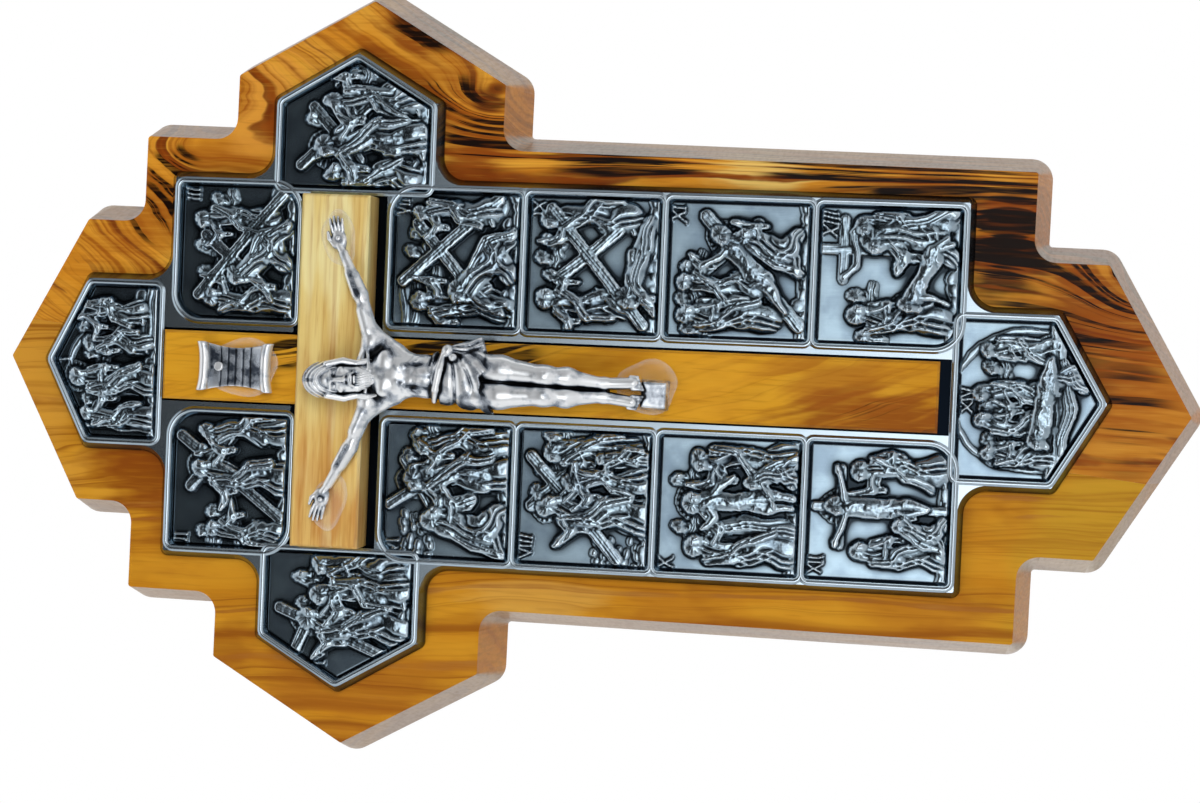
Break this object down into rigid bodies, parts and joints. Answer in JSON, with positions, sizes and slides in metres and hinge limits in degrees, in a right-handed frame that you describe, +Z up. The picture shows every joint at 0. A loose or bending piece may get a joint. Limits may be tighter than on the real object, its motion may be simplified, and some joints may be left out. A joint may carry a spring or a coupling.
{
  "type": "wall crucifix",
  "caption": "Wall crucifix: stepped olive wood board with a cast relief plate of station panels, an inner wooden cross, a cast figure and title scroll, and a ring hanger let into the back.",
  "frame": {"origin": "on the flat back face of the board, at the middle of its height and width", "axes": "+X to the viewer's right, +Z up the upright of the cross, the front faces -Y"},
  "size_m": [0.1588, 0.0319, 0.2472],
  "materials": {
    "olive_wood_plain": "lacquered honey olive wood",
    "olive_wood_streaked": "lacquered olive wood with dark streaks",
    "olive_wood_orange": "oiled orange olive wood",
    "pale_wood": "oiled pale blond wood",
    "antique_pewter": "antique silver finish, dark in the hollows and rubbed bright on the high spots",
    "bright_silver": "bright silver plate with dark patina in the creases",
    "clear_glue": "clear glossy glue",
    "hanger_brass": "brassed steel wire and strip"
  },
  "bodies": {
    "crucifix": {"board_left_plank": "olive_wood_plain", "board_right_plank": "olive_wood_streaked", "station_plate": "antique_pewter", "inner_post": "olive_wood_orange", "inner_crossbeam": "pale_wood", "corpus": "bright_silver", "title_scroll": "bright_silver", "title_pin": "bright_silver", "glue_right_hand": "clear_glue", "glue_left_hand": "clear_glue", "glue_feet": "clear_glue", "glue_title": "clear_glue", "hanger_strap": "hanger_brass", "hanger_pins": "hanger_brass"},
    "ring": {"hanging_ring": "hanger_brass"}
  },
  "joints": [
    {"name": "ring_swing", "type": "hinge", "parent": "crucifix", "child": "ring", "pos_m": [0, -0.00176, 0.094], "axis": [1, 0, 0], "range_deg": [0, 180]}
  ]
}
